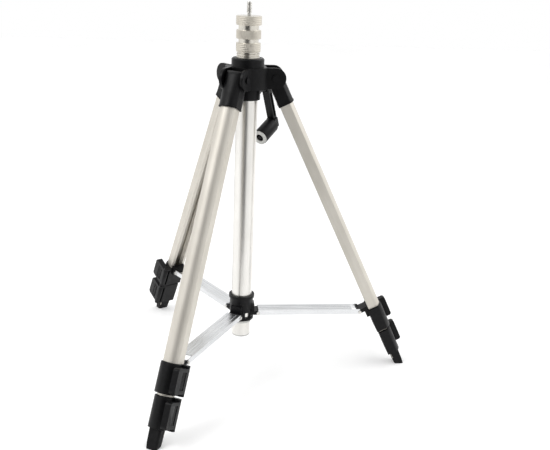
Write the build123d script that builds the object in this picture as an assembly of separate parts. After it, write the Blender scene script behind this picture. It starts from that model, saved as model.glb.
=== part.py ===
from build123d import *
from math import cos, pi, radians, sin
import os

# Levelling tripod with a threaded head adapter. Millimetres, +Z up.
# The column axis is the Z axis and the feet stand on Z = 0.
# Each leg is built in its own frame: origin at the leg-top pivot, -Z down the leg,
# +X the face that looks outwards, +Y the side that carries the clamp levers.

# ---- legs ----
LEG_AZIMUTHS = (0.0, 120.0, 240.0)
LEG_PIVOT_R = 32.8
LEG_PIVOT_Z = 387.2
SPLAY = 25.7
UPPER_W, UPPER_D = 20.4, 17.0
WALL = 1.2
NEST_GAP = 0.3
LIP = 2.6
CROWN_SHARE = 0.24
CAP_LENGTH = 35.0
CAP_W, CAP_D = 22.8, 20.0
UPPER_LOCK = (333.6, 369.0)
LOWER_LOCK = (371.5, 408.5)
UPPER_LOCK_W, UPPER_LOCK_D = 24.4, 20.4
LOWER_LOCK_W, LOWER_LOCK_D = 22.0, 17.8
FOOT_END = 433.0
FOOT_W, FOOT_D = 15.6, 12.6
LEVER_THICK = 7.6
LEVER_REACH = 8.0
EAR_HEIGHT = 3.0

# ---- brace ----
STRUT_PIN_ALONG = 332.0
STRUT_PIN_INWARD = 21.1
HUB_PIN_R = 21.8
STRUT_W = 19.6
STRUT_ABOVE, STRUT_BELOW = 4.2, 2.2
STRUT_WALL = 1.2
GROOVE_SPACING, GROOVE_W, GROOVE_DEEP = 5.0, 1.2, 0.35
RIVET_R = 1.4
LUG_W = 16.8
LUG_END_R = 2.7
HUB_R = 15.0
HUB_LIP_R = 16.6
HUB_Z = (70.0, 104.0)

# ---- column ----
TUBE_R, TUBE_BORE_R = 13.0, 12.1
TUBE_Z = (68.0, 398.0)
INNER_R, INNER_BORE_R = 11.75, 10.6
INNER_Z = (48.3, 409.7)
SHOULDER_Z = (374.0, 399.5)
COLLAR_LOW = 360.0
COLLAR_R = 15.9
BOSS_R, BOSS_TOP = 19.7, 409.5
BODY_R = 27.0
SLOT_R = 22.2
EAR_R, EAR_THICK = 12.5, 3.6
BOLT_R, BOLT_HEAD_R, BOLT_HEAD_HIGH = 2.6, 4.4, 1.8
EAR_OFFSET = CAP_W / 2 + 0.35
BAY_HALF = CAP_W / 2 + 1.0
BAY_END = 60.0

# ---- rack, pinion and crank ----
CRANK_AZIMUTH = 54.0
SHAFT_Z = 366.5
SHAFT_R = 2.5
TEETH = 10
RACK_PITCH = 2.5
RACK_LINE = 8.2
PITCH_R = TEETH * RACK_PITCH / (2 * pi)
SHAFT_OFFSET = RACK_LINE + PITCH_R
TOOTH_HALF = 0.7
LIFT = 200.0
HOUSING_R = 9.5
HOUSING_END = 40.0
FOLD_PIN_S = 66.0
CRANK_TILT = 23.0
ARM_LENGTH = 56.0
GRIP_LENGTH = 33.0
GRIP_R = 10.0

# ---- head adapter: heights of the rings ----
BASE_RING = (409.7, 411.8)
THIN_RING = (412.9, 415.0)
LOWER_BAND = (416.6, 427.2)
MIDDLE_BAND = (431.8, 442.0)
TOP_BAND = (447.7, 458.2)
STUD_NECK_TOP = 461.8
STUD_NECK_R = 2.3
STUD_TOP = 474.3
STUD_R = 3.175
SPINDLE_R = 6.0
TURN_GAP = 0.06

LEG = Pos(LEG_PIVOT_R, 0, LEG_PIVOT_Z) * Rot(0, -SPLAY, 0)
MIDDLE_W = UPPER_W - 2 * (WALL + NEST_GAP)
MIDDLE_D = UPPER_D - 2 * (WALL + NEST_GAP)
LOWER_W = MIDDLE_W - 2 * (WALL + NEST_GAP)
LOWER_D = MIDDLE_D - 2 * (WALL + NEST_GAP)

# The outer pin of a brace strut when the tripod is open, in the leg's vertical plane.
OUTER_PIN_R = (LEG_PIVOT_R + STRUT_PIN_ALONG * sin(radians(SPLAY))
               - STRUT_PIN_INWARD * cos(radians(SPLAY)))
OUTER_PIN_Z = (LEG_PIVOT_Z - STRUT_PIN_ALONG * cos(radians(SPLAY))
               - STRUT_PIN_INWARD * sin(radians(SPLAY)))
HUB_PIN_Z = OUTER_PIN_Z


def ring(outer, inner, low, high):
    """A washer or tube between two heights."""
    tube = Cylinder(outer, high - low) - Cylinder(inner, high - low + 2)
    return Pos(0, 0, (low + high) / 2) * tube


def rod(radius, low, high):
    return Pos(0, 0, (low + high) / 2) * Cylinder(radius, high - low)


def block(x, y, z):
    """A box given by its low and high side in each direction."""
    centre = Pos(sum(x) / 2, sum(y) / 2, sum(z) / 2)
    return centre * Box(x[1] - x[0], y[1] - y[0], z[1] - z[0])


# ---------------------------------------------------------------- legs

def crowned(width, depth):
    """Section of a leg tube: flat back and sides, domed front."""
    w, d = width / 2, depth / 2
    front = d - CROWN_SHARE * width
    outline = Polyline((front, w), (-d, w), (-d, -w), (front, -w))
    outline += ThreePointArc((front, -w), (d, 0), (front, w))
    return make_face(outline)


def channel(width, depth, top, bottom):
    """A drawn channel, open at the back between two small lips."""
    section = crowned(width, depth)
    section -= crowned(width - 2 * WALL, depth - 2 * WALL)
    slot_w = width - 2 * (WALL + LIP)
    section -= Pos(-depth / 2, 0) * Rectangle(4 * WALL, slot_w)
    return Pos(0, 0, -bottom) * extrude(section, bottom - top)


def plug(width, depth, top, bottom):
    """The space that a channel fills, lips and all."""
    return Pos(0, 0, -bottom) * extrude(crowned(width, depth), bottom - top)


def leg_cap():
    knuckle = Rot(90, 0, 0) * Cylinder(CAP_D / 2, CAP_W)
    envelope = plug(CAP_W, CAP_D, -CAP_D, CAP_LENGTH)
    body = plug(CAP_W, CAP_D, 0, CAP_LENGTH) + (knuckle & envelope)
    body += plug(CAP_W + 0.6, CAP_D + 1, CAP_LENGTH - 2, CAP_LENGTH)
    bore = Rot(90, 0, 0) * Cylinder(3.2, CAP_W + 2)
    return LEG * (body - bore - plug(UPPER_W, UPPER_D, 16, CAP_LENGTH + 1))


def upper_leg():
    return LEG * channel(UPPER_W, UPPER_D, 16, 352)


def middle_leg():
    return LEG * channel(MIDDLE_W, MIDDLE_D, 42, 392)


def lower_leg():
    return LEG * channel(LOWER_W, LOWER_D, 62, 418)


def lever_axis_place(lock_w, lock_d):
    """Where a clamp lever pivots: on the lever side, near the back corner."""
    return -lock_d / 2 + LEVER_THICK / 2, lock_w / 2 + 0.3 + LEVER_THICK / 2


def clamp_body(lock_w, lock_d, span):
    top, bottom = span
    shell = plug(lock_w, lock_d, top, bottom)
    shell = chamfer(shell.faces().sort_by(Axis.Z)[-1].edges(), 0.8)
    x, y = lever_axis_place(lock_w, lock_d)
    half = LEVER_THICK / 2
    for low in (-top - EAR_HEIGHT, -bottom):
        ear = block((x - half, x + half), (lock_w / 2 - 2.6, y), (low, low + EAR_HEIGHT))
        ear += Pos(x, y, low + EAR_HEIGHT / 2) * Cylinder(half, EAR_HEIGHT)
        shell += ear
    return shell - Pos(x, y, -(top + bottom) / 2) * Cylinder(1.3, bottom - top + 2)


def upper_lock():
    lock = clamp_body(UPPER_LOCK_W, UPPER_LOCK_D, UPPER_LOCK)
    pin_x = -STRUT_PIN_INWARD
    pin_z = -STRUT_PIN_ALONG
    root = -UPPER_LOCK_D / 2 + 1
    lug = block((pin_x, root), (-LUG_W / 2, LUG_W / 2), (pin_z - LUG_END_R, pin_z + LUG_END_R))
    gusset = block((-14.2, root), (-LUG_W / 2, LUG_W / 2), (pin_z - 12, pin_z + 2))
    lug += gusset
    lug += Pos(pin_x, 0, pin_z) * Rot(90, 0, 0) * Cylinder(LUG_END_R, LUG_W)
    pad_half = UPPER_LOCK_W / 2 - 2.6
    pad = block((root - 1, root + 4), (-pad_half, pad_half), (-UPPER_LOCK[0] - 3, pin_z + LUG_END_R))
    lock += lug + pad
    lock -= Pos(pin_x, 0, pin_z) * Rot(90, 0, 0) * Cylinder(RIVET_R + 0.05, LUG_W + 2)
    lock -= plug(UPPER_W, UPPER_D, UPPER_LOCK[0] - 20, 352)
    lock -= plug(MIDDLE_W + 0.5, MIDDLE_D + 0.5, UPPER_LOCK[0], UPPER_LOCK[1] + 1)
    return LEG * lock


def lower_lock():
    lock = clamp_body(LOWER_LOCK_W, LOWER_LOCK_D, LOWER_LOCK)
    lock -= plug(MIDDLE_W, MIDDLE_D, LOWER_LOCK[0] - 1, 392)
    lock -= plug(LOWER_W + 0.5, LOWER_D + 0.5, LOWER_LOCK[0], LOWER_LOCK[1] + 1)
    return LEG * lock


def clamp_lever(lock_w, lock_d, span):
    """A flat lever beside its clamp, with a finger tab standing past the front face."""
    low = -span[1] + EAR_HEIGHT + 0.3
    high = -span[0] - EAR_HEIGHT - 0.3
    x, y = lever_axis_place(lock_w, lock_d)
    half = LEVER_THICK / 2
    tip = lock_d / 2 + LEVER_REACH
    plate = block((x, tip), (y - half, y + half), (low, high))
    tip_edges = plate.edges().filter_by(Axis.Y).group_by(Axis.X)[-1]
    plate = fillet(tip_edges, 3.4)
    plate += Pos(x, y, (low + high) / 2) * Cylinder(half, high - low)
    hollow = block((x + 5, lock_d / 2 - 2), (y + half - 1.6, y + half + 1), (low + 4, high - 4))
    plate -= hollow
    for k in range(4):
        rib_x = x + 7 + k * (lock_d - 12) / 4
        plate += block((rib_x, rib_x + 1.2), (y + half - 2, y + half - 0.3), (low + 3, high - 3))
    trunnion = Pos(x, y, (low + high) / 2) * Cylinder(1.2, span[1] - span[0] - 0.6)
    return LEG * (plate + trunnion)


def foot():
    """A moulded foot whose end is cut flat where it meets the ground."""
    top = -LOWER_LOCK[1] - 0.3
    sections = [(FOOT_W, FOOT_D, top), (FOOT_W - 0.6, FOOT_D - 0.6, top - 16),
                (FOOT_W - 2.0, FOOT_D - 2.0, -FOOT_END)]
    outlines = [Pos(0, 0, z) * RectangleRounded(d, w, 2.6) for w, d, z in sections]
    body = loft(outlines, ruled=True)
    body -= plug(LOWER_W, LOWER_D, LOWER_LOCK[1] - 1, 418)
    ground = block((0, 400), (-60, 60), (-30, 0))
    return LEG * body - ground


# ---------------------------------------------------------------- brace

def brace_strut():
    """A pressed channel, web on top, its web cut back past each pin."""
    half, top = STRUT_W / 2, STRUT_ABOVE
    inner = half - STRUT_WALL
    start, end = HUB_PIN_R, OUTER_PIN_R
    strut = block((start + 0.4, end - 10.5), (-half, half), (top - STRUT_WALL, top))
    for side in (-1, 1):
        y = sorted((side * inner, side * half))
        strut += block((start, end), y, (-STRUT_BELOW, top))
        for x in (start, end):
            strut += Pos(x, sum(y) / 2, 0) * Rot(90, 0, 0) * Cylinder(STRUT_BELOW, STRUT_WALL)
    for y in (-GROOVE_SPACING, 0, GROOVE_SPACING):
        groove = ((start, end), (y - GROOVE_W / 2, y + GROOVE_W / 2), (top - GROOVE_DEEP, top + 1))
        strut -= block(*groove)
    for x in (start, end):
        strut -= Pos(x, 0, 0) * Rot(90, 0, 0) * Cylinder(RIVET_R, STRUT_W + 2)
    return Pos(0, 0, HUB_PIN_Z) * strut


def brace_rivets():
    """The two rivets of one strut, with domed heads outside its flanges."""
    rivets = []
    for x in (HUB_PIN_R, OUTER_PIN_R):
        rivet = Cylinder(RIVET_R, STRUT_W)
        for side in (-1, 1):
            rivet += Pos(0, 0, side * (STRUT_W / 2 + 0.4)) * Cylinder(RIVET_R + 0.8, 0.8)
        rivets.append(Pos(x, 0, HUB_PIN_Z) * Rot(90, 0, 0) * rivet)
    return rivets


def brace_hub():
    low, high = HUB_Z
    hub = rod(HUB_R, low, high)
    hub += rod(HUB_LIP_R, high - 4, high)
    hub += rod(HUB_R + 0.9, low, low + 3)
    for azimuth in LEG_AZIMUTHS:
        lug = block((0, HUB_PIN_R), (-LUG_W / 2, LUG_W / 2),
                    (HUB_PIN_Z - LUG_END_R, HUB_PIN_Z + LUG_END_R))
        lug += Pos(HUB_PIN_R, 0, HUB_PIN_Z) * Rot(90, 0, 0) * Cylinder(LUG_END_R, LUG_W)
        rib = block((0, HUB_R + 1.6), (-LUG_W / 2 + 1, LUG_W / 2 - 1), (HUB_PIN_Z, HUB_PIN_Z + 12))
        lug -= Pos(HUB_PIN_R, 0, HUB_PIN_Z) * Rot(90, 0, 0) * Cylinder(RIVET_R + 0.05, LUG_W + 2)
        hub += Rot(0, 0, azimuth) * (lug + rib)
        window = block((0, HUB_R + 3), (-3.6, 3.6), (74, 81))
        hub -= Rot(0, 0, azimuth + 60) * window
    return hub - rod(TUBE_R + 0.15, low - 1, high + 1)


# ---------------------------------------------------------------- shoulder and column

def along_shaft(part):
    """From the crank's frame (its shaft on X) to its place beside the column."""
    return Rot(0, 0, CRANK_AZIMUTH) * Pos(0, SHAFT_OFFSET, SHAFT_Z) * part


def shaft_rod(radius, start, end):
    return Pos((start + end) / 2, 0, 0) * Rot(0, 90, 0) * Cylinder(radius, end - start)


def housing_volume():
    """Outside of the gear housing that hangs under the shoulder."""
    drum = shaft_rod(HOUSING_R, -9, HOUSING_END)
    neck = block((-9, 20), (-HOUSING_R, HOUSING_R), (0, SHOULDER_Z[0] + 1 - SHAFT_Z))
    return along_shaft(drum + neck)


def leg_bays():
    """The room that the folded legs need beside the gear housing."""
    z = (SHAFT_Z - HOUSING_R - 1, SHOULDER_Z[1])
    bay = block((SLOT_R, BAY_END), (-BAY_HALF, BAY_HALF), z)
    return [Rot(0, 0, azimuth) * bay for azimuth in LEG_AZIMUTHS]


def shoulder():
    low, high = SHOULDER_Z
    body = rod(BODY_R, low, high)
    boss = rod(BOSS_R, high, BOSS_TOP)
    boss = chamfer(boss.faces().sort_by(Axis.Z)[-1].edges(), 1.4)
    body += boss
    for azimuth in LEG_AZIMUTHS:
        slot = block((SLOT_R, BODY_R + 1), (-EAR_OFFSET, EAR_OFFSET), (low - 1, high + 1))
        body -= Rot(0, 0, azimuth) * slot
        for side in (-1, 1):
            y = sorted((side * EAR_OFFSET, side * (EAR_OFFSET + EAR_THICK)))
            ear = block((8, LEG_PIVOT_R), y, (LEG_PIVOT_Z - EAR_R, LEG_PIVOT_Z + EAR_R))
            across = Pos(LEG_PIVOT_R, sum(y) / 2, LEG_PIVOT_Z) * Rot(90, 0, 0)
            ear += across * Cylinder(EAR_R, EAR_THICK)
            ear -= across * Cylinder(BOLT_R, EAR_THICK + 2)
            body += Rot(0, 0, azimuth) * ear
    body += housing_volume() - leg_bays()
    body -= along_shaft(shaft_rod(5.4, -4.4, 4.4) + shaft_rod(SHAFT_R + 0.05, -12, HOUSING_END + 1))
    body -= rod(TUBE_R, low - 20, TUBE_Z[1])
    return body - rod(TUBE_R + 1, TUBE_Z[1], BOSS_TOP + 1)


def tube_collar():
    collar = ring(COLLAR_R, TUBE_R, COLLAR_LOW, SHOULDER_Z[0])
    return collar - housing_volume()


def pivot_bolts():
    """A short bolt in each ear of the shoulder."""
    shank_y = EAR_OFFSET + EAR_THICK / 2
    head_y = EAR_OFFSET + EAR_THICK + BOLT_HEAD_HIGH / 2
    bolts = []
    for azimuth in LEG_AZIMUTHS:
        for side in (-1, 1):
            shank = Pos(0, side * shank_y, 0) * Rot(90, 0, 0) * Cylinder(BOLT_R, EAR_THICK)
            head = Pos(0, side * head_y, 0) * Rot(90, 0, 0) * Cylinder(BOLT_HEAD_R, BOLT_HEAD_HIGH)
            bolts.append(Rot(0, 0, azimuth) * Pos(LEG_PIVOT_R, 0, LEG_PIVOT_Z) * (shank + head))
    return bolts


def column_tube():
    tube = ring(TUBE_R, TUBE_BORE_R, *TUBE_Z)
    window = along_shaft(block((-14, 14), (-6.5, 6), (-6, 6)))
    return tube - window


def top_bush():
    return ring(TUBE_R + 1, INNER_R + 0.1, TUBE_Z[1], BOSS_TOP)


def bottom_bush():
    """A plastic bush in the tube's lower end, with a small rim under it."""
    bush = ring(TUBE_BORE_R, INNER_R + 0.1, TUBE_Z[0], TUBE_Z[0] + 14)
    return bush + ring(TUBE_R, INNER_R + 0.1, TUBE_Z[0] - 1.6, TUBE_Z[0])


def gear_cover():
    """Plate that closes the housing's inner end, beside the tube collar."""
    plate = along_shaft(shaft_rod(HOUSING_R - 1, -11, -9) - shaft_rod(SHAFT_R + 0.4, -12, -8))
    return plate - rod(COLLAR_R, 350, SHOULDER_Z[0]) - rod(BODY_R, *SHOULDER_Z)


def inner_column():
    """A tube milled open down one side, where the rack is let in."""
    tube = ring(INNER_R, INNER_BORE_R, *INNER_Z)
    flat = block((-13, 13), (RACK_LINE + 1.1, 14), rack_span())
    return tube - Rot(0, 0, CRANK_AZIMUTH) * flat


def rack_span():
    return SHAFT_Z - LIFT - 20, SHAFT_Z + 20


def gear_rack():
    """Straight rack on a rail that fills the column's bore from side to side."""
    low, high = rack_span()
    tip = RACK_LINE + TOOTH_HALF
    root = RACK_LINE - TOOTH_HALF - 0.2
    bar = block((-12, 12), (root - 2.4, root), (low, high)) & rod(INNER_BORE_R, low, high)
    tooth = Plane.YZ * make_face(Polyline((root, -0.7), (tip, -0.2), (tip, 0.2), (root, 0.7), close=True))
    tooth = Pos(-3.2, 0, 0) * extrude(tooth, 6.4)
    first = -int((SHAFT_Z - low - 2) // RACK_PITCH)
    last = int((high - SHAFT_Z - 2) // RACK_PITCH)
    bar += [Pos(0, 0, SHAFT_Z + k * RACK_PITCH) * tooth for k in range(first, last + 1)]
    return Rot(0, 0, CRANK_AZIMUTH) * bar


def column_end_cap():
    plug_in = rod(INNER_BORE_R, INNER_Z[0], INNER_Z[0] + 12) - rod(8.6, INNER_Z[0] + 2, INNER_Z[0] + 13)
    return plug_in + rod(INNER_R, INNER_Z[0] - 1.6, INNER_Z[0])


# ---------------------------------------------------------------- crank

def pinion():
    gear = Cylinder(PITCH_R - TOOTH_HALF - 0.2, 6)
    root = PITCH_R - TOOTH_HALF - 0.4
    tip = PITCH_R + TOOTH_HALF
    outline = Polyline((root, -0.66), (tip, -0.22), (tip, 0.22), (root, 0.66), close=True)
    tooth = extrude(make_face(outline), 6)
    for k in range(TEETH):
        gear += Rot(0, 0, (k + 0.5) * 360 / TEETH) * Pos(0, 0, -3) * tooth
    gear -= Cylinder(SHAFT_R - 0.5, 8)
    return along_shaft(Rot(90, 0, 0) * Rot(0, 90, 0) * gear)


def crank_shaft():
    """Shaft turned down where the pinion sits on it."""
    shaft = shaft_rod(SHAFT_R, 3, HOUSING_END + 5) + shaft_rod(SHAFT_R, -8.6, -3)
    return along_shaft(shaft + shaft_rod(SHAFT_R - 0.5, -3, 3))


def crank_hub():
    """Boss on the shaft's end, flattened to a tongue that holds the fold pin."""
    boss = shaft_rod(6.4, HOUSING_END + 0.4, FOLD_PIN_S - 9)
    tongue = block((HOUSING_END + 6, FOLD_PIN_S), (-2.4, 2.4), (-5, 5))
    tongue += Pos(FOLD_PIN_S, 0, 0) * Rot(90, 0, 0) * Cylinder(5, 4.8)
    tongue -= Pos(FOLD_PIN_S, 0, 0) * Rot(90, 0, 0) * Cylinder(1.55, 6)
    return along_shaft(boss + tongue - shaft_rod(SHAFT_R, HOUSING_END, HOUSING_END + 5))


def on_arm(part):
    """From the arm's frame (fold pin at the origin, arm down -Z, outwards +X)."""
    return along_shaft(Pos(FOLD_PIN_S, 0, 0) * Rot(0, -CRANK_TILT, 0) * part)


def crank_arm():
    """Ribbed arm, forked at the fold pin and cranked flat at the grip."""
    arm = block((-3.6, 3.6), (-5, 5), (-ARM_LENGTH + 4, 0))
    for side in (-1, 1):
        arm += Pos(0, side * 3.85, 0) * Rot(90, 0, 0) * Cylinder(5, 2.3)
    arm -= block((-6, 6), (-2.7, 2.7), (-6.2, 6))
    for side in (-1, 1):
        arm -= block((-2, 2), sorted((side * 3.4, side * 6)), (-ARM_LENGTH + 12, -10))
    arm += block((-3.6, 3.6), (-6.4, 6.4), (-ARM_LENGTH - 5, -ARM_LENGTH + 8))
    arm = arm - Rot(90, 0, 0) * Cylinder(1.5, 14)
    axle = Pos(0, 0, -ARM_LENGTH) * Rot(0, 90, 0) * Cylinder(2.4, 4)
    stem = Pos(-3.6 - GRIP_LENGTH / 2, 0, -ARM_LENGTH) * Rot(0, 90, 0) * Cylinder(2.4, GRIP_LENGTH)
    return on_arm(arm + axle + stem)


def fold_pin():
    return on_arm(Rot(90, 0, 0) * Cylinder(1.5, 10))


def crank_grip():
    """Barrel grip that turns on the arm's stem, waisted next to the arm."""
    start = -3.9
    end = start - GRIP_LENGTH + 1.5
    barrel = Pos((start + end) / 2, 0, -ARM_LENGTH) * Rot(0, 90, 0) * Cylinder(GRIP_R, start - end)
    barrel = fillet(barrel.edges().group_by(Axis.X)[-1], 1.6)
    barrel -= Pos(-20, 0, -ARM_LENGTH) * Rot(0, 90, 0) * Cylinder(2.5, 60)
    recess = Pos(end, 0, -ARM_LENGTH) * Rot(0, 90, 0) * Cylinder(5.2, 6)
    return on_arm(barrel - recess)


def grip_end_ring():
    end = -3.9 - GRIP_LENGTH + 1.5
    band = Cylinder(GRIP_R - 0.4, 1.5) - Cylinder(5.2, 4)
    return on_arm(Pos(end - 0.75, 0, -ARM_LENGTH) * Rot(0, 90, 0) * band)


# ---------------------------------------------------------------- head adapter

def lower_collar():
    """One turned piece: two thin rings, a broad band and the neck above it."""
    collar = rod(14.0, *BASE_RING) + rod(12.6, BASE_RING[1], THIN_RING[0]) + rod(14.0, *THIN_RING)
    collar += rod(12.6, THIN_RING[1], LOWER_BAND[0]) + rod(14.75, *LOWER_BAND)
    collar += rod(12.0, LOWER_BAND[1], MIDDLE_BAND[0])
    collar += rod(INNER_BORE_R - 1.6, INNER_Z[1] - 14, INNER_Z[1])
    return collar - rod(SPINDLE_R, INNER_Z[1] - 15, STUD_TOP)


def spindle():
    """Screw that ties the adapter together, its head inside the column."""
    return rod(SPINDLE_R, INNER_Z[1] - 14, TOP_BAND[1] - 3) + rod(8, INNER_Z[1] - 18, INNER_Z[1] - 14)


def middle_collar():
    collar = rod(14.75, MIDDLE_BAND[0] + TURN_GAP, MIDDLE_BAND[1])
    collar += rod(12.2, MIDDLE_BAND[1], TOP_BAND[0] - TURN_GAP)
    return collar - rod(SPINDLE_R + TURN_GAP, 420, 470)


def head_collar():
    collar = rod(15.25, *TOP_BAND)
    collar -= rod(SPINDLE_R + TURN_GAP, 440, TOP_BAND[1] - 3 + TURN_GAP)
    return collar - rod(STUD_NECK_R + TURN_GAP, 440, 480)


def stud_screw():
    """Outside of the 1/4 inch screw, on its narrow neck."""
    stud = rod(STUD_NECK_R, TOP_BAND[1] - 3, STUD_NECK_TOP) + rod(STUD_R, STUD_NECK_TOP, STUD_TOP)
    return chamfer(stud.faces().sort_by(Axis.Z)[-1].edges(), 0.7)


def save(part, name):
    solids = part if isinstance(part, list) else [part]
    solids = [s for piece in solids for s in piece.solids()]
    shape = solids[0] if len(solids) == 1 else Compound(children=solids)
    export_step(shape, f"parts/{name}.step")


SINGLE_PARTS = (shoulder, column_tube, tube_collar, pivot_bolts, gear_cover, top_bush, bottom_bush,
                inner_column, gear_rack, column_end_cap, lower_collar, spindle, middle_collar,
                head_collar, stud_screw, pinion, crank_shaft, crank_hub, crank_arm, fold_pin,
                crank_grip, grip_end_ring, brace_hub)


def leg_parts():
    return {
        "brace_strut": brace_strut(),
        "brace_rivets": brace_rivets(),
        "leg_cap": leg_cap(),
        "upper_leg": upper_leg(),
        "upper_lock": upper_lock(),
        "upper_lever": clamp_lever(UPPER_LOCK_W, UPPER_LOCK_D, UPPER_LOCK),
        "middle_leg": middle_leg(),
        "lower_lock": lower_lock(),
        "lower_lever": clamp_lever(LOWER_LOCK_W, LOWER_LOCK_D, LOWER_LOCK),
        "lower_leg": lower_leg(),
        "foot": foot(),
    }


def main():
    os.makedirs("parts", exist_ok=True)
    for make in SINGLE_PARTS:
        save(make(), make.__name__)
    for name, part in leg_parts().items():
        pieces = part if isinstance(part, list) else [part]
        for number, azimuth in enumerate(LEG_AZIMUTHS, start=1):
            save([Rot(0, 0, azimuth) * piece for piece in pieces], f"{name}_{number}")


main()
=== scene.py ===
from math import ceil, cos, floor, hypot, pi, radians, sin
import bmesh
import bpy
from mathutils import Matrix, Vector


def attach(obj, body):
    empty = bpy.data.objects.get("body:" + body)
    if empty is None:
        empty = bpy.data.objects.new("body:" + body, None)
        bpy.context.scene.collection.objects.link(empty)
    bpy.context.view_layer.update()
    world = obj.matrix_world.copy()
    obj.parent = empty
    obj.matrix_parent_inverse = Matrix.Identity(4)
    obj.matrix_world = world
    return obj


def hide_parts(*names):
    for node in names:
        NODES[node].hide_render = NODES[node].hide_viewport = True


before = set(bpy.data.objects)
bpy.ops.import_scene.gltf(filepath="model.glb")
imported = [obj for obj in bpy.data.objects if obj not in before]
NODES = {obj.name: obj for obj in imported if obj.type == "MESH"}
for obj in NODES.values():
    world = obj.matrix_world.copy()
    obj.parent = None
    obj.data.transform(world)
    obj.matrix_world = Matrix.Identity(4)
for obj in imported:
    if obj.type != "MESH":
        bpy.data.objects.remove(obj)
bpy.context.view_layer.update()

# Looks of the levelling tripod. Metres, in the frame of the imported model.
MM = 0.001
SPLAY = radians(25.7)
LEG_AZIMUTHS = (0.0, 120.0, 240.0)
VIEW_AZIMUTH = radians(-94.5)
MOULDED_LEG_PARTS = ("leg_cap", "upper_lock", "upper_lever", "lower_lock", "lower_lever")

# Head adapter: radii and heights in millimetres.
BAND_R, TOP_BAND_R = 14.75, 15.25
BAND_INNER = 14.1
RING_R, RING_NECK_R = 14.0, 12.6
BORE_R, LOOSE_BORE_R = 6.0, 6.06
BASE_RING = (409.7, 411.8)
THIN_RING = (412.9, 415.0)
LOWER_BAND = (416.6, 427.2)
MIDDLE_BAND = (431.86, 442.0)
TOP_BAND = (447.7, 458.2)
STUD_LOW = 455.2

# The floor stops short in front, so that bright metal mirrors the darker side of the studio.
FLOOR_FRONT = -0.42


# ------------------------------------------------------------------ node helpers

def new_material(name):
    material = bpy.data.materials.new(name)
    material.use_nodes = True
    tree = material.node_tree
    return material, tree, tree.nodes["Principled BSDF"]


def add(tree, kind, **values):
    node = tree.nodes.new(kind)
    for key, value in values.items():
        if hasattr(node, key):
            setattr(node, key, value)
        else:
            node.inputs[key].default_value = value
    return node


def link(tree, source, target):
    tree.links.new(source, target)


def object_coords(tree, turns=(), scale=(1, 1, 1)):
    """Object coordinates, turned step by step and then scaled."""
    out = add(tree, "ShaderNodeTexCoord").outputs["Object"]
    for turn in turns:
        mapping = add(tree, "ShaderNodeMapping")
        mapping.inputs["Rotation"].default_value = turn
        link(tree, out, mapping.inputs["Vector"])
        out = mapping.outputs["Vector"]
    mapping = add(tree, "ShaderNodeMapping")
    mapping.inputs["Scale"].default_value = scale
    link(tree, out, mapping.inputs["Vector"])
    return mapping.outputs["Vector"]


def noise(tree, coords, scale, detail=4.0, rough=0.55):
    node = add(tree, "ShaderNodeTexNoise")
    node.inputs["Scale"].default_value = scale
    node.inputs["Detail"].default_value = detail
    node.inputs["Roughness"].default_value = rough
    link(tree, coords, node.inputs["Vector"])
    return node.outputs["Fac"]


def spread(tree, value, low, high, start=0.3, end=0.7):
    node = add(tree, "ShaderNodeMapRange")
    limits = {"From Min": start, "From Max": end, "To Min": low, "To Max": high}
    for name, number in limits.items():
        node.inputs[name].default_value = number
    link(tree, value, node.inputs["Value"])
    return node.outputs["Result"]


def two_tone(tree, value, dark, light, start=0.3, end=0.7):
    ramp = add(tree, "ShaderNodeValToRGB")
    ramp.color_ramp.elements[0].position = start
    ramp.color_ramp.elements[1].position = end
    ramp.color_ramp.elements[0].color = (*dark, 1)
    ramp.color_ramp.elements[1].color = (*light, 1)
    link(tree, value, ramp.inputs["Fac"])
    return ramp.outputs["Color"]


def bump(tree, shader, heights, distance):
    """Adds up several heights, each with its own strength, as one chain of bumps."""
    normal = None
    for height, strength in heights:
        node = add(tree, "ShaderNodeBump")
        node.inputs["Strength"].default_value = strength
        node.inputs["Distance"].default_value = distance
        link(tree, height, node.inputs["Height"])
        if normal is not None:
            link(tree, normal, node.inputs["Normal"])
        normal = node.outputs["Normal"]
    link(tree, normal, shader.inputs["Normal"])


# ------------------------------------------------------------------ materials

def drawn_aluminium(name, dark, light, rough, turns=(), drawn=0.35):
    """Anodised aluminium with fine die lines along the tube."""
    material, tree, shader = new_material(name)
    shader.inputs["Metallic"].default_value = 1.0
    lines = noise(tree, object_coords(tree, turns, (2600, 2600, 9)), 1.0, 3.0)
    cloud = noise(tree, object_coords(tree, turns, (60, 60, 22)), 1.0, 3.0)
    grain = noise(tree, object_coords(tree, turns), 5200, 2.0)
    link(tree, two_tone(tree, cloud, dark, light), shader.inputs["Base Color"])
    link(tree, spread(tree, lines, rough - 0.05, rough + 0.08), shader.inputs["Roughness"])
    bump(tree, shader, ((lines, drawn), (grain, 0.12)), 0.00004)
    return material


def moulded_plastic(name, dark, light, rough, texture=0.35, gloss=0.16):
    """Black moulded plastic: spark-eroded grain, cloudy sheen, rubbed lighter in places."""
    material, tree, shader = new_material(name)
    coords = object_coords(tree)
    grain = noise(tree, coords, 3200, 2.0)
    cloud = noise(tree, coords, 90, 5.0)
    rub = noise(tree, coords, 240, 6.0, 0.7)
    link(tree, two_tone(tree, rub, dark, light, 0.45, 0.8), shader.inputs["Base Color"])
    link(tree, spread(tree, cloud, rough - 0.07, rough + 0.12), shader.inputs["Roughness"])
    shader.inputs["Specular IOR Level"].default_value = gloss
    bump(tree, shader, ((grain, texture), (cloud, 0.05)), 0.00006)
    return material


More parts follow.
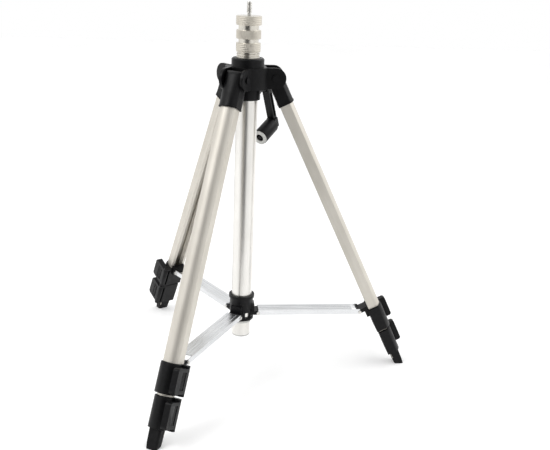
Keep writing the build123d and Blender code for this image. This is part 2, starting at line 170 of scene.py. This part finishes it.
def turned_nickel(name, dark, light, rough):
    """Plated turned metal with tool rings round its axis."""
    material, tree, shader = new_material(name)
    shader.inputs["Metallic"].default_value = 1.0
    rings = noise(tree, object_coords(tree, (), (30, 30, 5200)), 1.0, 2.0)
    cloud = noise(tree, object_coords(tree), 160, 4.0)
    link(tree, two_tone(tree, cloud, dark, light), shader.inputs["Base Color"])
    link(tree, spread(tree, cloud, rough - 0.04, rough + 0.08), shader.inputs["Roughness"])
    bump(tree, shader, ((rings, 0.2),), 0.00004)
    return material


def plain_floor():
    material, tree, shader = new_material("pale_floor")
    cloud = noise(tree, object_coords(tree), 2.0, 2.0)
    tone = two_tone(tree, cloud, (0.90, 0.90, 0.90), (0.93, 0.93, 0.93))
    link(tree, tone, shader.inputs["Base Color"])
    shader.inputs["Roughness"].default_value = 0.9
    shader.inputs["Emission Color"].default_value = (1, 1, 1, 1)
    shader.inputs["Emission Strength"].default_value = 0.2
    return material


def leg_turns(azimuth):
    """Turns that bring a leg's length on to Z."""
    return ((0, 0, -radians(azimuth)), (0, SPLAY, 0))


def make_materials():
    made = {
        "black": moulded_plastic("black_plastic", (0.004, 0.004, 0.0045), (0.010, 0.010, 0.011), 0.36),
        "rubber": moulded_plastic("foot_rubber", (0.005, 0.005, 0.0055), (0.012, 0.012, 0.013),
                                  0.55, 0.6),
        "bearing": moulded_plastic("bearing_plastic", (0.50, 0.50, 0.48), (0.60, 0.60, 0.57),
                                   0.35, 0.1, 0.5),
        "column": drawn_aluminium("column_aluminium", (0.76, 0.745, 0.71), (0.84, 0.825, 0.79),
                                  0.30),
        "nickel": turned_nickel("nickel", (0.62, 0.59, 0.53), (0.74, 0.71, 0.64), 0.26),
        "knurled": turned_nickel("knurled_nickel", (0.60, 0.565, 0.50), (0.70, 0.665, 0.595), 0.56),
        "polished": turned_nickel("polished_steel", (0.58, 0.57, 0.55), (0.70, 0.69, 0.66), 0.22),
    }
    for number, azimuth in enumerate(LEG_AZIMUTHS, start=1):
        made[f"leg_{number}"] = drawn_aluminium(f"leg_aluminium_{number}", (0.65, 0.62, 0.56),
                                                (0.72, 0.69, 0.63), 0.54, leg_turns(azimuth))
        turns = ((0, 0, -radians(azimuth)), (0, pi / 2, 0))
        made[f"strut_{number}"] = drawn_aluminium(f"strut_aluminium_{number}", (0.70, 0.71, 0.72),
                                                  (0.80, 0.81, 0.82), 0.28, turns, 0.6)
    return made


MATERIALS = make_materials()


def paint(obj, material):
    obj.data.materials.clear()
    obj.data.materials.append(MATERIALS[material])


def soften(obj, width, segments=2):
    """Rounds the sharp edges of a moulded part."""
    weld = obj.modifiers.new("weld", "WELD")
    weld.merge_threshold = 0.000002
    bevel = obj.modifiers.new("soft_edges", "BEVEL")
    bevel.width = width
    bevel.segments = segments
    bevel.limit_method = "ANGLE"
    bevel.angle_limit = radians(38)
    bevel.harden_normals = False


def paint_frame():
    single = {
        "black": ("shoulder", "tube_collar", "gear_cover", "crank_hub", "crank_arm", "crank_grip",
                  "brace_hub", "pivot_bolts"),
        "bearing": ("top_bush", "bottom_bush", "column_end_cap", "grip_end_ring", "pinion",
                    "gear_rack"),
        "column": ("column_tube", "inner_column"),
        "polished": ("spindle", "crank_shaft", "fold_pin"),
    }
    for material, names in single.items():
        for name in names:
            paint(NODES[name], material)
    for i in (1, 2, 3):
        for name in MOULDED_LEG_PARTS:
            paint(NODES[f"{name}_{i}"], "black")
        for name in ("upper_leg", "middle_leg", "lower_leg"):
            paint(NODES[f"{name}_{i}"], f"leg_{i}")
        paint(NODES[f"foot_{i}"], "rubber")
        paint(NODES[f"brace_strut_{i}"], f"strut_{i}")
        paint(NODES[f"brace_rivets_{i}"], "polished")


# ------------------------------------------------------------------ turned pieces

def mesh_object(name, verts, faces, material):
    """A closed smooth mesh, its doubled points merged and its edges kept crisp."""
    mesh = bpy.data.meshes.new(name)
    mesh.from_pydata(verts, [], faces)
    shape = bmesh.new()
    shape.from_mesh(mesh)
    bmesh.ops.remove_doubles(shape, verts=shape.verts, dist=1e-7)
    bmesh.ops.recalc_face_normals(shape, faces=shape.faces)
    shape.to_mesh(mesh)
    shape.free()
    mesh.validate()
    for polygon in mesh.polygons:
        polygon.use_smooth = True
    mesh.set_sharp_from_angle(angle=radians(40))
    obj = bpy.data.objects.new(name, mesh)
    bpy.context.scene.collection.objects.link(obj)
    paint(obj, material)
    return obj


def tri(x):
    """Triangle wave: 0 at whole numbers, 1 half-way."""
    return 1 - abs(2 * (x - floor(x)) - 1)


def lathe(name, profile, segments, material, body, shape=None):
    """Turns a closed outline of (radius, height) round Z. shape(r, z, angle) may carve it."""
    verts = []
    for radius, height in profile:
        for k in range(segments):
            angle = 2 * pi * k / segments
            r = shape(radius, height, angle) if shape else radius
            verts.append((r * cos(angle) * MM, r * sin(angle) * MM, height * MM))
    faces = []
    count = len(profile)
    for row in range(count):
        following = (row + 1) % count
        for k in range(segments):
            right = (k + 1) % segments
            faces.append((row * segments + k, row * segments + right,
                          following * segments + right, following * segments + k))
    obj = mesh_object(name, verts, faces, material)
    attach(obj, body)
    return obj


def band(radius, low, high, step=0.3, edge=0.45):
    """Outline of a knurled band: small chamfers and rows close enough to carve."""
    rows = [(radius - edge, low), (radius, low + edge)]
    steps = ceil((high - low - 2 * edge) / step)
    for k in range(1, steps):
        rows.append((radius, low + edge + (high - low - 2 * edge) * k / steps))
    return rows + [(radius, high - edge), (radius - edge, high)]


def groove(radius, neck, low, high, fillet=0.5):
    """Outline of a neck between two bands, with a small fillet at each end."""
    return [(radius, low), (neck + fillet, low), (neck + 0.1, low + 0.1), (neck, low + fillet),
            (neck, high - fillet), (neck + 0.1, high - 0.1), (neck + fillet, high), (radius, high)]


def thin_ring(radius, low, high):
    edge = 0.35
    return [(radius - edge, low), (radius, low + edge), (radius, high - edge), (radius - edge, high)]


def knurl(low, high, starts, depth, ring_pitch=None, ring_depth=0.0):
    """Carves straight ridges into a band, and grooves round it where a pitch is given."""
    def carve(radius, height, angle):
        if not low + 0.7 < height < high - 0.7:
            return radius
        ridge = max(0.0, tri(angle * starts / (2 * pi)) - 0.35) / 0.65
        ring = max(0.0, tri((height - low) / ring_pitch) - 0.4) / 0.6 if ring_pitch else 0.0
        return radius - depth * ridge - ring_depth * ring
    return carve


def roughen_bands(obj):
    """Gives the knurled bands, which stand out past the rings, a duller finish."""
    obj.data.materials.append(MATERIALS["knurled"])
    for polygon in obj.data.polygons:
        x, y, _ = polygon.center
        if hypot(x, y) > BAND_INNER * MM and abs(polygon.normal.z) < 0.9:
            polygon.material_index = 1


def adapter():
    lower = [(BORE_R, 395.7), (9.0, 395.7), (9.0, BASE_RING[0])]
    lower += thin_ring(RING_R, *BASE_RING) + [(RING_NECK_R, 411.9), (RING_NECK_R, 412.8)]
    lower += thin_ring(RING_R, *THIN_RING) + [(RING_NECK_R, 415.1), (RING_NECK_R, 416.5)]
    lower += band(BAND_R, *LOWER_BAND)
    lower += groove(13.0, 12.0, LOWER_BAND[1], 431.8)[1:-1] + [(BORE_R, 431.8)]
    obj = lathe("lower_knurled_collar", lower, 360, "nickel", "inner_column",
                knurl(*LOWER_BAND, 60, 0.12, 2.12, 0.42))
    roughen_bands(obj)
    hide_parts("lower_collar")
    middle = [(LOOSE_BORE_R, MIDDLE_BAND[0])] + band(BAND_R, *MIDDLE_BAND)
    middle += groove(13.4, 12.2, MIDDLE_BAND[1], 447.64)[1:-1] + [(LOOSE_BORE_R, 447.64)]
    obj = lathe("middle_knurled_ring", middle, 288, "nickel", "middle_collar",
                knurl(*MIDDLE_BAND, 72, 0.25))
    roughen_bands(obj)
    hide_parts("middle_collar")
    top = [(LOOSE_BORE_R, TOP_BAND[0])] + band(TOP_BAND_R, *TOP_BAND)
    top += [(2.36, TOP_BAND[1]), (2.36, STUD_LOW + 0.06), (LOOSE_BORE_R, STUD_LOW + 0.06)]
    obj = lathe("top_knurled_collar", top, 360, "nickel", "head_collar",
                knurl(*TOP_BAND, 60, 0.12, 2.1, 0.42))
    roughen_bands(obj)
    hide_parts("head_collar")


def threaded_stud():
    """1/4 inch screw, 20 threads to the inch, on its short neck."""
    pitch, depth, radius = 1.27, 0.62, 3.175
    low, high, neck = 461.8, 474.3, 2.3
    steps = 100
    rows = [(0.0, STUD_LOW), (neck, STUD_LOW), (neck, low - 0.3), (neck + 0.3, low)]
    rows += [(radius, low + (high - 0.7 - low) * k / steps) for k in range(1, steps + 1)]
    rows += [(radius - 0.7, high), (0.0, high)]

    def carve(r, z, angle):
        if r != radius:
            return r
        ends = min(1.0, (z - low) / 0.8)
        return r - depth * ends * tri(z / pitch - angle / (2 * pi))
    obj = lathe("threaded_stud", rows, 48, "polished", "inner_column", carve)
    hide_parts("stud_screw")


# ------------------------------------------------------------------ stage

def make_world():
    """White studio, with the darker camera side that bright metal mirrors."""
    world = bpy.data.worlds.new("studio")
    world.use_nodes = True
    bpy.context.scene.world = world
    tree = world.node_tree
    background = tree.nodes["Background"]
    coords = add(tree, "ShaderNodeTexCoord").outputs["Generated"]
    flat = add(tree, "ShaderNodeVectorMath", operation="MULTIPLY")
    flat.inputs[1].default_value = (1, 1, 0)
    link(tree, coords, flat.inputs[0])
    unit = add(tree, "ShaderNodeVectorMath", operation="NORMALIZE")
    link(tree, flat.outputs[0], unit.inputs[0])
    facing = add(tree, "ShaderNodeVectorMath", operation="DOT_PRODUCT")
    side = VIEW_AZIMUTH - radians(14)
    facing.inputs[1].default_value = (cos(side), sin(side), 0)
    link(tree, unit.outputs[0], facing.inputs[0])
    level = spread(tree, facing.outputs["Value"], 1.0, 0.10, cos(radians(34)), cos(radians(20)))
    seen = add(tree, "ShaderNodeLightPath").outputs["Is Camera Ray"]
    pick = add(tree, "ShaderNodeMix")
    pick.inputs["A"].default_value = 1.0
    link(tree, seen, pick.inputs["Factor"])
    link(tree, level, pick.inputs["A"])
    pick.inputs["B"].default_value = 1.0
    link(tree, pick.outputs["Result"], background.inputs["Strength"])
    background.inputs["Color"].default_value = (1.0, 1.0, 1.0, 1)


def make_floor():
    mesh = bpy.data.meshes.new("floor")
    front, back, side = FLOOR_FRONT, 4.0, 3.0
    corners = [(-side, front, 0), (side, front, 0), (side, back, 0), (-side, back, 0)]
    mesh.from_pydata(corners, [], [(0, 1, 2, 3)])
    floor_obj = bpy.data.objects.new("floor", mesh)
    bpy.context.scene.collection.objects.link(floor_obj)
    mesh.materials.append(plain_floor())


def area_light(name, place, target, size, power):
    light = bpy.data.lights.new(name, "AREA")
    light.shape = "DISK"
    light.size = size
    light.energy = power
    obj = bpy.data.objects.new(name, light)
    obj.location = place
    obj.rotation_euler = (Vector(target) - Vector(place)).to_track_quat("-Z", "Y").to_euler()
    bpy.context.scene.collection.objects.link(obj)


def make_lights():
    area_light("key", (-1.1, -0.5, 1.5), (0, 0, 0.2), 0.9, 9)
    area_light("fill", (1.3, 0.3, 1.3), (0, 0, 0.2), 1.0, 6)


def make_camera():
    camera = bpy.data.cameras.new("camera")
    camera.sensor_width = 36
    camera.lens = 53.22
    camera.clip_start = 0.01
    obj = bpy.data.objects.new("camera", camera)
    place = Vector((-0.0779, -0.9809, 0.53135))
    forward = Vector((0.1135, 0.9409, -0.3193)).normalized()
    right = Vector((0.9935, -0.1070, 0.0379))
    right = (right - forward * right.dot(forward)).normalized()
    up = right.cross(forward)
    turn = Matrix((right, up, -forward)).transposed().to_4x4()
    obj.matrix_world = Matrix.Translation(place) @ turn
    bpy.context.scene.collection.objects.link(obj)
    bpy.context.scene.camera = obj


def soften_frame():
    for name in ("shoulder", "brace_hub"):
        soften(NODES[name], 0.0006)
    for name in ("tube_collar", "crank_hub", "crank_arm", "crank_grip"):
        soften(NODES[name], 0.0004)
    for i in (1, 2, 3):
        for name in (*MOULDED_LEG_PARTS, "foot"):
            soften(NODES[f"{name}_{i}"], 0.0004)


paint_frame()
soften_frame()
adapter()
threaded_stud()
make_world()
make_floor()
make_lights()
make_camera()
bpy.context.scene.view_settings.view_transform = "Standard"
